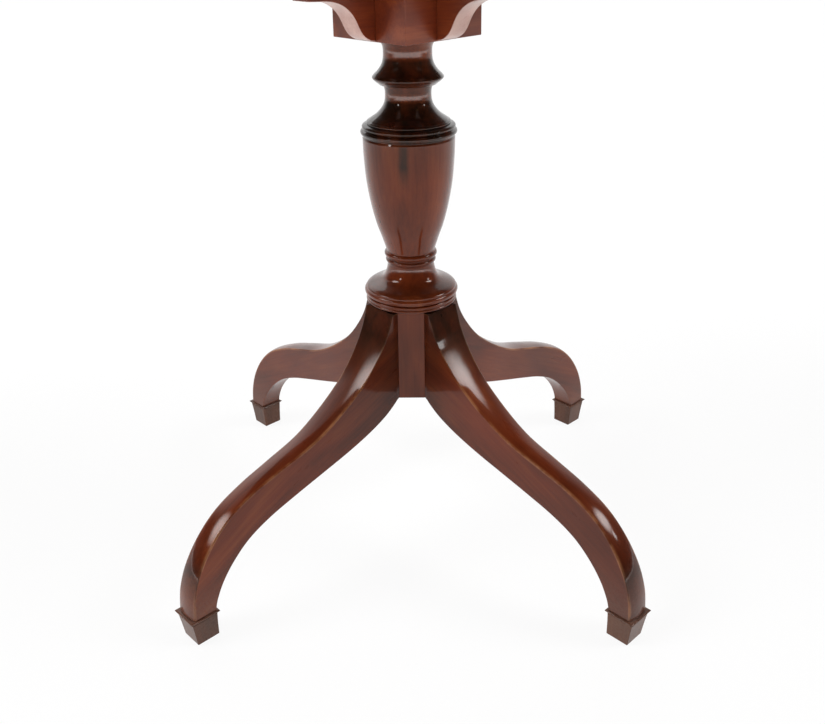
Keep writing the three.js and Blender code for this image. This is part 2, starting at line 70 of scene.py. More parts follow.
TOP_UNDERSIDE = low("tabletop").z
BLOCK_BOTTOM = low("tilt_block").z
BLOCK_TOP = high("tilt_block").z
BLOCK_HALF = high("tilt_block").x / math.sqrt(2)
POST_BOTTOM = low("leg_post").z
POST_TOP = high("leg_post").z
POST_FACE = high("leg_post").x
HINGE = next(j for j in frame["joints"] if j["name"] == "top_tilt")["pos_m"]
ARM_TOP = high("bearer_arm_front_left").z
ARM_HALF_WIDTH = 13 * MM
ARM_END = 151 * MM
COLLAR_LOW = low("foot_collar_front_left").z
COLLAR_HIGH = high("foot_collar_front_left").z


def quarter_turn(name):
    return Matrix.Rotation(math.radians(QUARTERS[name]), 4, "Z")


# ---- materials


class Nodes:
    """A small helper that builds a node tree in order."""

    def __init__(self, tree):
        self.tree = tree
        tree.nodes.clear()

    def add(self, kind, inputs=None, **settings):
        node = self.tree.nodes.new(kind)
        for key, value in settings.items():
            setattr(node, key, value)
        for key, value in (inputs or {}).items():
            self.put(node.inputs[key], value)
        return node

    def put(self, socket, value):
        """Links a socket or a node's first output, or sets a plain value."""
        if isinstance(value, bpy.types.NodeSocket):
            self.tree.links.new(value, socket)
        elif isinstance(value, bpy.types.Node):
            self.tree.links.new(value.outputs[0], socket)
        else:
            socket.default_value = value

    def attribute(self, name, output="Fac"):
        return self.add("ShaderNodeAttribute", attribute_name=name).outputs[output]

    def place(self, kind):
        return self.add("ShaderNodeTexCoord").outputs[kind]

    def noise(self, vector, scale, detail=3.0, rough=0.5, distort=0.0):
        inputs = {
            "Vector": vector,
            "Scale": scale,
            "Detail": detail,
            "Roughness": rough,
            "Distortion": distort,
        }
        return self.add("ShaderNodeTexNoise", inputs).outputs["Fac"]

    def stretched_noise(self, vector, stretch, detail, rough, distort=0.0):
        """Noise that is finer along each axis by that axis's stretch."""
        mapped = self.add("ShaderNodeMapping", {"Vector": vector, "Scale": stretch})
        return self.noise(mapped, 1.0, detail, rough, distort)

    def ramp(self, factor, stops):
        node = self.add("ShaderNodeValToRGB", {"Fac": factor})
        elements = node.color_ramp.elements
        while len(elements) < len(stops):
            elements.new(0.5)
        for element, (place, colour) in zip(elements, stops):
            element.position = place
            element.color = (*colour, 1) if len(colour) == 3 else colour
        return node.outputs["Color"]

    def grey_ramp(self, factor, stops):
        return self.ramp(factor, [(place, (value, value, value)) for place, value in stops])

    def math(self, operation, a, b=0.0, clamp=False):
        node = self.add("ShaderNodeMath", operation=operation, use_clamp=clamp)
        self.put(node.inputs[0], a)
        self.put(node.inputs[1], b)
        return node.outputs[0]

    def span(self, value, start, stop, low, high, shape="LINEAR"):
        """Maps start to stop on to low to high, and holds the value at both ends."""
        inputs = {"Value": value, "From Min": start, "From Max": stop, "To Min": low, "To Max": high}
        return self.add("ShaderNodeMapRange", inputs, interpolation_type=shape).outputs[0]

    def vector(self, operation, output, *values):
        inputs = dict(enumerate(values))
        return self.add("ShaderNodeVectorMath", inputs, operation=operation).outputs[output]

    def part(self, vector, axis):
        return self.add("ShaderNodeSeparateXYZ", {"Vector": vector}).outputs[axis]

    def mix(self, factor, a, b, blend="MIX"):
        node = self.add("ShaderNodeMix", data_type="RGBA", blend_type=blend)
        self.put(node.inputs[0], factor)
        self.put(node.inputs[6], a)
        self.put(node.inputs[7], b)
        return node.outputs[2]

    def bump(self, height, strength, distance):
        inputs = {"Height": height, "Strength": strength, "Distance": distance}
        return self.add("ShaderNodeBump", inputs).outputs[0]


def new_material(name):
    material = bpy.data.materials.new(name)
    material.use_nodes = True
    return material, Nodes(material.node_tree)


# Dark, middle and light tones of the timber in each kind of piece.
LEG_TONES = ((0.045, 0.0070, 0.0020), (0.113, 0.0175, 0.0045), (0.200, 0.043, 0.0095))
TURNED_TONES = ((0.070, 0.0100, 0.0026), (0.142, 0.0245, 0.0060), (0.225, 0.049, 0.0110))
BLOCK_TONES = ((0.070, 0.0085, 0.0025), (0.150, 0.0240, 0.0060), (0.260, 0.056, 0.014))
# Paler tones for the arms' downward faces.
PALE_TONES = ((0.34, 0.19, 0.16), (0.46, 0.29, 0.25), (0.56, 0.38, 0.33))
FOOT_TONES = ((0.030, 0.0080, 0.0035), (0.076, 0.0215, 0.0090), (0.135, 0.044, 0.018))
TOP_TONES = ((0.062, 0.0125, 0.0045), (0.150, 0.033, 0.0105), (0.26, 0.072, 0.023))
RAW_TONES = ((0.045, 0.016, 0.008), (0.085, 0.032, 0.016), (0.13, 0.054, 0.028))

PORE = (0.012, 0.004, 0.003, 1)
RUBBED = (0.36, 0.15, 0.065, 1)
# Near-black for painted shade and painted dark reflections on the column and legs, and for a little old
# polish on the legs' tops.
SHADE_AND_OLD_POLISH = (0.0075, 0.0032, 0.0013, 1)
DUST = (0.15, 0.10, 0.078, 1)
POLISH_TINT = (1.0, 0.35, 0.15, 1)

# How fine the broad figure is along and across the grain, on short pieces and on wide boards.
SHORT_FIGURE = (5.0, 26.0, 26.0)
BOARD_FIGURE = (1.6, 34.0, 34.0)


def timber(n, grain, tones, figure, board):
    """The wood's own colour, and the height of its fibres and pores."""
    broad = n.stretched_noise(grain, board, 3.0, 0.55, 0.8)
    streaks = n.stretched_noise(grain, (9.0, 330.0, 330.0), 4.0, 0.6, 0.1)
    patches = n.stretched_noise(grain, (7.0, 9.0, 9.0), 2.0, 0.5, 0.3)
    pores = n.stretched_noise(grain, (110.0, 2200.0, 2200.0), 2.0, 0.5)
    blend = n.math("MULTIPLY", broad, 0.75 * figure)
    blend = n.math("ADD", blend, n.math("MULTIPLY", streaks, 0.25))
    blend = n.math("ADD", blend, 0.375 * (1 - figure))
    colour = n.ramp(blend, list(zip((0.3, 0.5, 0.72), tones)))
    colour = n.mix(1.0, colour, n.grey_ramp(patches, [(0.3, 0.72), (0.7, 1.25)]), "MULTIPLY")
    pore_mask = n.grey_ramp(pores, [(0.60, 0.0), (0.70, 1.0)])
    colour = n.mix(n.math("MULTIPLY", pore_mask, 0.3), colour, PORE)
    height = n.math("ADD", n.math("MULTIPLY", pore_mask, -1.0), n.math("MULTIPLY", streaks, 0.5))
    return colour, height


def amount(n, attribute, everywhere, patchy):
    """How much of a mark there is, such as wear, dust, and painted shade with old polish: what the vertices
    say, and the same everywhere, in patches.
    """
    here = n.math("ADD", n.attribute(attribute), everywhere, clamp=True)
    return n.math("MULTIPLY", here, patchy)


def wood(name, tones, gloss=0.5, sheen=0.08, matt=0.0, worn=0.0, dusty=0.0, figure=1.0, board=SHORT_FIGURE):
    """Polished mahogany. The grain attribute gives (along, across, across) in metres on each piece.

    gloss and sheen are the clear coat's weight and roughness, and matt roughens the wood under it. worn
    and dusty act all over the piece. figure is the strength of the broad figure.
    """
    material, n = new_material(name)
    grain = n.attribute("grain", "Vector")
    colour, height = timber(n, grain, tones, figure, board)
    rubbed = n.grey_ramp(n.noise(grain, 38.0, 3.0, 0.6), [(0.38, 0.15), (0.62, 1.0)])
    wear = amount(n, "wear", worn, rubbed)
    colour = n.mix(n.math("MULTIPLY", wear, 0.75), colour, RUBBED)
    # Painted shade and painted reflection: the old attribute turns the wood near-black, in blotches, where
    # the column and legs are shaded or reflect dark things, with a little old polish on the legs.
    blotches = n.stretched_noise(grain, (16.0, 40.0, 40.0), 3.0, 0.6, 0.5)
    old = amount(n, "old", 0.0, n.grey_ramp(blotches, [(0.32, 0.65), (0.55, 1.0)]))
    colour = n.mix(old, colour, SHADE_AND_OLD_POLISH)
    specks = n.grey_ramp(n.noise(grain, 420.0, 3.0, 0.7), [(0.35, 0.45), (0.65, 1.0)])
    dust = amount(n, "dust", dusty, specks)
    colour = n.mix(n.math("MULTIPLY", dust, 0.6), colour, DUST)
    smears = n.stretched_noise(grain, (14.0, 40.0, 40.0), 4.0, 0.6)
    rough = n.grey_ramp(smears, [(0.3, 0.26 + matt), (0.75, 0.40 + matt)])
    rough = n.math("ADD", rough, n.math("MULTIPLY", dust, 0.3), clamp=True)
    waves = n.stretched_noise(grain, (18.0, 45.0, 45.0), 2.0, 0.5)
    shader = n.add("ShaderNodeBsdfPrincipled", {
        "Base Color": colour,
        "Roughness": rough,
        "Normal": n.bump(height, 0.25, 0.00012),
        "Coat Normal": n.bump(waves, 0.35, 0.0006),
        "Specular IOR Level": 0.15,
        "Specular Tint": POLISH_TINT,
        "Coat Weight": gloss,
        "Coat Roughness": sheen,
        "Coat IOR": 1.5,
    })
    n.add("ShaderNodeOutputMaterial", {"Surface": shader})
    return material


def metal(name, colour, tarnish, rough_low, rough_high, metallic=1.0):
    """Old metal: a base colour with darker tarnish in patches and fine brushing."""
    material, n = new_material(name)
    place = n.place("Object")
    stain = n.noise(place, 160.0, 4.0, 0.65)
    brush = n.stretched_noise(place, (2400.0, 160.0, 160.0), 2.0, 0.5)
    tarnished = n.grey_ramp(stain, [(0.42, 0.0), (0.66, 0.85)])
    rough = n.math("ADD", n.math("MULTIPLY", stain, 0.7), n.math("MULTIPLY", brush, 0.3))
    height = n.math("ADD", stain, n.math("MULTIPLY", brush, 0.4))
    shader = n.add("ShaderNodeBsdfPrincipled", {
        "Base Color": n.mix(tarnished, (*colour, 1), (*tarnish, 1)),
        "Roughness": n.grey_ramp(rough, [(0.3, rough_low), (0.7, rough_high)]),
        "Normal": n.bump(height, 0.3, 0.00008),
        "Metallic": metallic,
    })
    n.add("ShaderNodeOutputMaterial", {"Surface": shader})
    return material


WOOD = wood("mahogany_polished", LEG_TONES, figure=0.75)
WOOD_WORN = wood("mahogany_worn_edge", LEG_TONES, worn=0.85)
TURNED = wood("mahogany_turned", TURNED_TONES, gloss=0.65, figure=0.8)
BLOCK_WOOD = wood("mahogany_block", BLOCK_TONES, sheen=0.3)
ARM_UNDER = wood("mahogany_arm_underside", PALE_TONES, sheen=0.3)
FOOT_WOOD = wood("mahogany_foot", FOOT_TONES, gloss=0.35, dusty=0.7)
FOOT_WORN = wood("mahogany_foot_edge", FOOT_TONES, gloss=0.3, worn=0.45, dusty=0.5)
TOP_WOOD = wood("mahogany_top", TOP_TONES, board=BOARD_FIGURE)
RAW_WOOD = wood("mahogany_underside", RAW_TONES, gloss=0.05, matt=0.35, board=BOARD_FIGURE)
BRASS = metal("aged_brass", (0.62, 0.42, 0.16), (0.20, 0.12, 0.045), 0.22, 0.5)
IRON = metal("blackened_iron", (0.055, 0.05, 0.046), (0.09, 0.045, 0.025), 0.5, 0.8, 0.7)
STEEL = metal("dull_steel", (0.30, 0.29, 0.27), (0.12, 0.085, 0.06), 0.35, 0.6)


# ---- mesh helpers


def object_from(name, verts, faces):
    mesh = bpy.data.meshes.new(name)
    mesh.from_pydata([tuple(v) for v in verts], [], faces)
    mesh.validate()
    mesh.update()
    obj = bpy.data.objects.new(name, mesh)
    bpy.context.scene.collection.objects.link(obj)
    return obj


def loft(name, rings):
    """A closed solid through rings of equal length, with flat ends."""
    count = len(rings[0])
    verts = [v for ring in rings for v in ring]
    faces = []
    for i in range(len(rings) - 1):
        for j in range(count):
            a = i * count + j
            b = i * count + (j + 1) % count
            faces.append((a, b, b + count, a + count))
    faces.append(tuple(reversed(range(count))))
    last = (len(rings) - 1) * count
    faces.append(tuple(range(last, last + count)))
    return object_from(name, verts, faces)


def lathe(name, profile, segments=96):
    """A turned solid about Z. The profile is (radius, height), and starts and ends on the axis."""
    inner = profile[1:-1]
    verts = [(0, 0, profile[0][1])]
    for r, z in inner:
        for k in range(segments):
            angle = 2 * math.pi * k / segments
            verts.append((r * math.cos(angle), r * math.sin(angle), z))
    verts.append((0, 0, profile[-1][1]))
    faces = []
    for k in range(segments):
        after = (k + 1) % segments
        faces.append((0, 1 + after, 1 + k))
        for i in range(len(inner) - 1):
            a = 1 + i * segments
            b = a + segments
            faces.append((a + k, a + after, b + after, b + k))
        end = 1 + (len(inner) - 1) * segments
        faces.append((end + k, end + after, len(verts) - 1))
    return object_from(name, verts, faces)


def rod(name, radius, start, stop, segments=48):
    """A plain round bar about Z, for cutting holes."""
    return lathe(name, [(0, start), (radius, start), (radius, stop), (0, stop)], segments)


def prism(name, outline, z0, z1):
    """A solid with one outline in X and Y from height z0 to z1."""
    return loft(name, [[(x, y, z0) for x, y in outline], [(x, y, z1) for x, y in outline]])


def block(name, lo, hi):
    """A box between its lowest and highest corners."""
    return prism(name, [(lo[0], lo[1]), (hi[0], lo[1]), (hi[0], hi[1]), (lo[0], hi[1])], lo[2], hi[2])


def face_outward(obj):
    """Turns all of a closed mesh's faces to point out."""
    bm = bmesh.new()
    bm.from_mesh(obj.data)
    bmesh.ops.recalc_face_normals(bm, faces=bm.faces)
    bm.to_mesh(obj.data)
    bm.free()


def settle(obj):
    """Applies an object's modifiers to its mesh."""
    graph = bpy.context.evaluated_depsgraph_get()
    mesh = bpy.data.meshes.new_from_object(obj.evaluated_get(graph))
    old = obj.data
    obj.modifiers.clear()
    obj.data = mesh
    bpy.data.meshes.remove(old)


def combine(obj, others, operation):
    """Joins other solids to a piece or cuts them out of it, and removes them."""
    for other in others:
        modifier = obj.modifiers.new("shape", "BOOLEAN")
        modifier.operation = operation
        modifier.solver = "EXACT"
        modifier.object = other
    settle(obj)
    for other in others:
        bpy.data.objects.remove(other)


def soften(obj, width, segments=2, angle=28, edge_slot=None):
    """Rounds the edges that turn by more than angle. edge_slot is the rounding's material index."""
    modifier = obj.modifiers.new("soften", "BEVEL")
    modifier.width = width
    modifier.segments = segments
    modifier.limit_method = "ANGLE"
    modifier.angle_limit = math.radians(angle)
    modifier.use_clamp_overlap = True
    if edge_slot is not None:
        modifier.material = edge_slot
    settle(obj)


def shade(obj, angle=32):
    """Shades a piece smoothly, apart from the edges that turn by more than angle."""
    obj.data.shade_smooth()
    obj.data.set_sharp_from_angle(angle=math.radians(angle))
    modifier = obj.modifiers.new("normals", "WEIGHTED_NORMAL")
    modifier.keep_sharp = True
    settle(obj)


def set_grain(obj, along, offset):
    """Stores each vertex's place in the timber. along is the grain's direction in the mesh's own frame."""
    along = Vector(along).normalized()
    side = along.orthogonal().normalized()
    rise = along.cross(side)
    data = obj.data.attributes.new("grain", "FLOAT_VECTOR", "POINT").data
    for vertex, entry in zip(obj.data.vertices, data):
        co = vertex.co
        entry.vector = (co.dot(along) + offset, co.dot(side) + 0.7 * offset, co.dot(rise) + 0.4 * offset)


def set_value(obj, name, rule):
    """Stores rule(vertex) for each vertex."""
    data = obj.data.attributes.new(name, "FLOAT", "POINT").data
    for vertex, entry in zip(obj.data.vertices, data):
        entry.value = rule(vertex)


def dress(obj, materials, body, node, place=None):
    """Gives a piece its materials, its place and the body that it rides on, and hides the CAD node it stands
    for.
    """
    for material in materials:
        obj.data.materials.append(material)
    if place is not None:
        obj.data.transform(place)
        obj.data.update()
    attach(obj, body)
    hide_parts(node)


def arc(r, z, radius, start, stop, steps):
    """Points on an arc about (r, z), from start to stop degrees."""
    points = []
    for i in range(steps + 1):
        angle = math.radians(start + (stop - start) * i / steps)
        points.append((r + radius * math.cos(angle), z + radius * math.sin(angle)))
    return points


def spline(points, steps):
    """A Catmull-Rom curve through points of any dimension, with equal steps from each to the next."""
    padded = [points[0], *points, points[-1]]
    result = []
    for i in range(1, len(padded) - 2):
        a, b, c, d = (Vector(p) for p in padded[i - 1 : i + 3])
        for k in range(steps):
            t = k / steps
            result.append(0.5 * (2 * b + (c - a) * t + (2 * a - 5 * b + 4 * c - d) * t**2
                                 + (3 * b - a - 3 * c + d) * t**3))
    result.append(Vector(points[-1]))
    return result


def smooth(points, steps):
    """A spline through an outline's points, as plain pairs."""
    return [(p.x, p.y) for p in spline(points, steps)]


# ---- the turned column

COLUMN_FOOT = POST_TOP + GAP
COLUMN_HEAD = BLOCK_BOTTOM - GAP
FOOT_TENON = 20 * MM
HEAD_TENON = 19 * MM


def base_profile():
    """The rings and the dome at the column's foot, its short neck and the two beads under the urn."""
    dome = [(56.1, 333.9), (55.4, 336.2), (51.4, 338.9), (44.9, 341.4), (38.9, 343.9), (34.6, 347.1),
            (31.9, 351.6), (30.0, 357.0), (28.9, 363.0), (28.9, 365.6)]
    return [
        (FOOT_TENON / MM, COLUMN_FOOT / MM),
        (53.4, COLUMN_FOOT / MM),
        (54.6, 316.9),
        *arc(54.8, 319.0, 1.7, -70, 70, 6),
        (55.6, 321.2),
        *arc(54.6, 323.4, 1.9, -60, 70, 6),
        (54.2, 325.5),
        (54.2, 326.3),
        *arc(54.2, 330.2, 4.1, -78, 62, 10),
        *smooth(dome, 5),
        (29.2, 366.4),
        *arc(28.0, 369.6, 3.0, -66, 70, 10),
        (29.0, 373.2),
        *arc(28.6, 377.8, 3.9, -74, 66, 10),
        (29.9, 382.0),
    ]


def urn_profile():
    """The urn and the stacked rings that close it."""
    urn = [(30.0, 383.0), (35.3, 399.5), (41.5, 417.7), (47.6, 442.9), (52.2, 471.1), (54.4, 499.0),
           (54.9, 512.0), (55.1, 523.4)]
    return [
        *smooth(urn, 7),
        (54.3, 525.0),
        (54.3, 525.8),
        (55.3, 526.8),
        *arc(54.3, 530.4, 3.2, -62, 76, 9),
        (54.6, 534.1),
        *arc(53.1, 536.6, 2.5, -62, 80, 8),
        (51.4, 539.8),
        *arc(48.0, 541.6, 2.0, -50, 84, 7),
        (46.8, 544.2),
    ]


def neck_profile():
    """The cove over the rings, the knife-edged disc and the upper neck."""
    cove = [(46.4, 545.0), (38.0, 551.0), (31.2, 559.0), (28.1, 566.0), (27.3, 573.0), (27.6, 579.5),
            (29.2, 585.2)]
    upper_neck = [(39.4, 597.6), (35.2, 601.8), (31.0, 608.2), (29.0, 614.6), (28.5, 621.6), (28.9, 628.6),
                  (31.2, 634.0), (33.4, 637.2)]
    return [
        *smooth(cove, 7),
        (30.4, 585.6),
        (34.2, 586.1),
        (35.0, 586.9),
        *smooth([(36.0, 587.8), (39.0, 590.0), (41.5, 592.6)], 3),
        (42.0, 593.6),
        (41.7, 594.9),
        *smooth(upper_neck, 6),
        (33.6, COLUMN_HEAD / MM),
    ]


def hump(value, start, full, end):
    """Rises from 0 at start to 1 at full, and falls to 0 at end."""
    if value < full:
        return max(0.0, (value - start) / (full - start))
    return max(0.0, (end - value) / (end - full))


# Painted shade on the column, darkest in the rings and hollows over the urn and about the disc: (height in
# millimetres, how much of it).
COLUMN_PAINTED_SHADE = [(310, 0.5), (333, 0.2), (340, 0.55), (352, 0.0), (372, 0.3), (382, 0.1), (400, 0.0),
              (478, 0.0), (523, 0.4), (526, 1.0), (566, 1.0), (573, 0.3), (578, 0.75), (592, 0.8), (596, 1.0),
              (614, 1.0), (620, 0.1), (628, 0.3), (640, 0.45)]
STREAK_LOW = 470
STREAK_HIGH = 523
STREAK_FADE = 28


def urn_painted_reflection(place):
    """A painted reflection: the dark streak that runs down the front of the urn from its shoulder, where the
    camera is reflected.
    """
    if place.y >= 0 or not STREAK_LOW < place.z < STREAK_HIGH:
        return 0.0
    across = min(0.95, 1.6 * hump(place.x, -14, -6, 3))
    return across * min(1, (place.z - STREAK_LOW) / STREAK_FADE)


def column_painted_shade(place):
    """How much painted shade and painted reflection there is at a place on the column, given in millimetres.
    """
    for (z0, a0), (z1, a1) in zip(COLUMN_PAINTED_SHADE, COLUMN_PAINTED_SHADE[1:]):
        if z0 <= place.z <= z1:
            return max(urn_painted_reflection(place), a0 + (a1 - a0) * (place.z - z0) / (z1 - z0))
    return 0.0


def make_column():
    tenon_foot = low("column").z
    tenon_head = high("column").z
    ease = 0.6 * MM
    profile = [(0, tenon_foot), (FOOT_TENON, tenon_foot)]
    profile += [(r * MM, z * MM) for r, z in base_profile() + urn_profile() + neck_profile()]
    profile += [(HEAD_TENON, COLUMN_HEAD), (HEAD_TENON, tenon_head - ease), (HEAD_TENON - ease, tenon_head),
                (0, tenon_head)]
    column = lathe("column_turning", profile, 144)
    wedge_lo, wedge_hi = low("column_wedge"), high("column_wedge")
    kerf = block("kerf", (wedge_lo.x - 3 * MM, wedge_lo.y, wedge_lo.z), (wedge_hi.x + 3 * MM, wedge_hi.y, 1))
    combine(column, [kerf], "DIFFERENCE")
    set_grain(column, (0, 0, 1), 0.13)
    shade(column, 40)
    # On the column the old attribute holds only painted shade and the painted reflection streak.
    set_value(column, "old", lambda vertex: column_painted_shade(vertex.co / MM))
    dress(column, [TURNED], "pedestal", "column")


def make_wedge():
    lo, hi = low("column_wedge"), high("column_wedge")
    thin = 0.8 * MM
    rings = []
    for z, half in ((lo.z, thin), (hi.z - 1.5 * MM, hi.y - 0.1 * MM), (hi.z, hi.y - 0.15 * MM)):
        rings.append([(lo.x, -half, z), (hi.x, -half, z), (hi.x, half, z), (lo.x, half, z)])
    wedge = loft("tenon_wedge", rings)
    soften(wedge, 0.3 * MM, 1)
    set_grain(wedge, (0, 0, 1), 2.4)
    shade(wedge)
    dress(wedge, [RAW_WOOD], "pedestal", "column_wedge")


# ---- the post and the block

# How far from the axis the post's faces for the legs are.
POST_LEG_FACE = 46.7 * MM


def make_post():
    """An octagon: its narrow faces show between the legs, and each leg meets one of the others."""
    narrow = POST_LEG_FACE * math.sqrt(2) - POST_FACE
    outline = []
    for quarter in range(4):
        turn = Matrix.Rotation(quarter * math.pi / 2, 2)
        for corner in ((POST_FACE, narrow), (narrow, POST_FACE)):
            outline.append(tuple(turn @ Vector(corner)))
    post = prism("hub_post", outline, POST_BOTTOM, POST_TOP)
    soften(post, 0.7 * MM, 2, edge_slot=1)
    set_grain(post, (0, 0, 1), 0.55)
    shade(post)
    dress(post, [TURNED, WOOD_WORN], "pedestal", "leg_post")


def make_tilt_block():
    half = BLOCK_HALF
    body = block("tilt_block_body", (-half, -half, BLOCK_BOTTOM), (half, half, BLOCK_TOP))
    socket = rod("socket", HEAD_TENON + GAP, BLOCK_BOTTOM - 0.01, BLOCK_TOP + 0.01, 64)
    combine(body, [socket], "DIFFERENCE")
    soften(body, 0.8 * MM, 2, 40)
    set_grain(body, (1, 0, 0), 0.91)
    shade(body)
    dress(body, [BLOCK_WOOD], "pedestal", "tilt_block", quarter_turn("rear_right"))


# ---- the legs and feet

# Stations from the post to the ankle, in millimetres: the top edge (outward, height), the
# underside (outward, height) and the width.
LEG_STATIONS = [
    (54, 315.6, 50, 197.6, 48),
    (65, 287, 58, 189.4, 46),
    (82, 262, 72, 178.8, 43.5),
    (105, 237.5, 96, 166.7, 41),
    (141, 210.5, 128, 154.2, 37.5),
    (181, 188.5, 166, 141.7, 33),
    (226, 174, 207, 129.2, 29.8),
    (266, 161, 245, 117, 28),
    (301, 144, 275.5, 103, 27.8),
    (327, 120.5, 298.4, 85, 28.6),
    (346, 92, 315, 66, 30),
    (356.2, 63, 325, 48, 31.4),
    (359.2, 36, 328.6, 36, 32),
]
LEG_ROOT = 47
LEG_ROOT_HALF = 24
LEG_TOP = 315.6

# The crown on a leg's top starts this far out and is full after its run. Its rise is for a leg as wide as
# the root.
CROWN_START = 56
CROWN_RUN = 50
CROWN = 3.0
CROWN_STEPS = 10
ARRIS = 1.3
WEAR_REACH = 1.6


def leg_section(half, height, ease):
    """Half a leg's section as (sideways, up, wear), from the underside's middle to the crown's middle.

    Where ease is 0 the section is square; where it is 1 the top is crowned and its edges are rounded.
    """
    crown = CROWN * half / LEG_ROOT_HALF * ease
    arris = ARRIS * (0.25 + 0.75 * ease)
    points = [(0, 0, 0), (half - 1.0, 0, 0), (half - 0.3, 0.3, 0.5), (half, 1.0, 0)]
    shoulder = height - crown - arris
    points += [(half, height * 0.5, 0), (half, shoulder - WEAR_REACH, 0), (half, shoulder, 0.9)]
    for angle in (30, 60):
        turn = math.radians(angle)
        points.append((half - arris * (1 - math.cos(turn)), shoulder + arris * math.sin(turn), 1.0))
    inner = half - arris
    points.append((inner, height - crown, 0.9))
    points.append((inner - WEAR_REACH, height - crown * (1 - WEAR_REACH / inner) ** 2, 0.1))
    for i in range(1, CROWN_STEPS + 1):
        y = (inner - WEAR_REACH) * (1 - i / CROWN_STEPS)
        points.append((y, height - crown * (y / inner) ** 2, 0))
    return points


def leg_ring(top, under, half):
    """The full ring of a leg's section, between its top edge and its underside."""
    ease = min(1, max(0, (top.x - CROWN_START) / CROWN_RUN))
    up = top - under
    height = up.length
    up.normalize()
    right = leg_section(half, height, ease)
    section = [(-y, v, w) for y, v, w in reversed(right[1:-1])]
    section = right + section
    ring = [Vector((under.x + up.x * v, y, under.y + up.y * v)) for y, v, w in section]
    return ring, [w for y, v, w in section]


def leg_shade_and_old_polish(vertex):
    """Painted shade, with a little old polish: dark on the top near the hub and over the ankle, where the
    legs lie in shade and reflect the dim room, dark on the sides near the hub, where the legs shade each
    other, and a little old polish elsewhere on the top.
    """
    outward, height = vertex.co.x / MM, vertex.co.z / MM
    hub = min(1.0, max(0.0, (125 - outward) / 60))
    if vertex.normal.x < 0.25 and vertex.normal.z < 0.25:
        return 0.55 * hub
    ankle = hump(outward, 315, 348, 380) * hump(height, 50, 85, 135)
    return max(0.12, 0.9 * hub, 0.9 * ankle)


def ankle_dust(vertex):
    """Dust, thickest at the collar and gone 70 mm over it."""
    return 0.8 * max(0.0, 1 - (vertex.co.z - COLLAR_HIGH) / (70 * MM)) ** 1.5


def make_leg(quarter, offset):
    name = f"leg_{quarter}"
    root_top = Vector((LEG_ROOT, LEG_TOP))
    root_under = Vector((LEG_ROOT, POST_BOTTOM / MM))
    root, wear = leg_ring(root_top, root_under, LEG_ROOT_HALF)
    rings = [root]
    for top_x, top_z, under_x, under_z, width in spline(LEG_STATIONS, 8):
        ring, ring_wear = leg_ring(Vector((top_x, top_z)), Vector((under_x, under_z)), width / 2)
        rings.append(ring)
        wear += ring_wear
    for point in rings[1]:
        point.z = min(point.z, LEG_TOP)
    leg = loft(f"{name}_swept", [[v * MM for v in ring] for ring in rings])
    data = leg.data.attributes.new("wear", "FLOAT", "POINT").data
    for value, entry in zip(wear, data):
        entry.value = value
    set_grain(leg, (0.9, 0, -0.44), offset)
    # On a leg the old attribute is mostly painted shade, with a little old polish on the top.
    set_value(leg, "old", leg_shade_and_old_polish)
    set_value(leg, "dust", ankle_dust)
    shade(leg, 50)
    dress(leg, [WOOD], "pedestal", name, quarter_turn(quarter))


# How far out a block foot's middle is at the floor and at its head, in millimetres.
FOOT_CENTRE = 341
FOOT_HEAD_CENTRE = 344.2


def square(side, z, centre):
    """A level square ring. Its side and how far out it is are in millimetres."""
    half = side / 2
    corners = ((-half, -half), (half, -half), (half, half), (-half, half))
    return [((centre + x) * MM, y * MM, z) for x, y in corners]


def make_foot(quarter, offset):
    name = f"foot_block_{quarter}"
    height = high(name).z
    rings = []
    for share, side in ((0, 28.0), (0.25, 28.9), (0.6, 30.3), (0.85, 31.6), (1, 32.4)):
        centre = FOOT_CENTRE + (FOOT_HEAD_CENTRE - FOOT_CENTRE) * share
        rings.append(square(side, height * share, centre))
    foot = loft(f"{name}_tapered", rings)
    soften(foot, 0.9 * MM, 3, 30, edge_slot=1)
    set_grain(foot, (0.05, 0, 1), offset)
    shade(foot, 40)
    dress(foot, [FOOT_WOOD, FOOT_WORN], "pedestal", name, quarter_turn(quarter))


def make_collar(quarter, offset):
    name = f"foot_collar_{quarter}"
    rise = COLLAR_HIGH - COLLAR_LOW
    steps = ((0, 32.6), (0.12, 33.2), (0.3, 33.4), (0.42, 34.6), (0.52, 36.4), (0.62, 36.9), (0.74, 36.7),
             (0.84, 35.4), (0.94, 33.8), (1, 32.0))
    rings = [square(side, COLLAR_LOW + rise * share, FOOT_HEAD_CENTRE) for share, side in steps]
    collar = loft(f"{name}_moulding", rings)
    soften(collar, 0.25 * MM, 2, 60, edge_slot=1)
    set_grain(collar, (0, 1, 0.03), offset)
    shade(collar, 35)
    dress(collar, [FOOT_WOOD, FOOT_WORN], "pedestal", name, quarter_turn(quarter))


# ---- the bearer arms


def bezier(a, b, c, d, steps):
    """A Bezier curve's points from a to d, without a itself."""
    points = []
    for i in range(1, steps + 1):
        t = i / steps
        s = 1 - t
        points.append(tuple(s**3 * p + 3 * s * s * t * q + 3 * s * t * t * r + t**3 * w
                            for p, q, r, w in zip(a, b, c, d)))
    return points


def arm_outline():
    """The side of an arm in millimetres: its underside rises in an ogee from the block to a thin bar."""
    face = (BLOCK_HALF + GAP) / MM
    start = BLOCK_BOTTOM / MM
    top = ARM_TOP / MM
    outline = [(face, start + 1), (face + 6, start + 2)]
    outline += bezier(outline[-1], (80, 647), (82, 655), (88, 665.5), 10)
    outline += bezier((88, 665.5), (95, 677.5), (108, 686.5), (127, 688), 12)
    outline += [(ARM_END / MM, 689.5), (ARM_END / MM, top), (face, top)]
    return outline


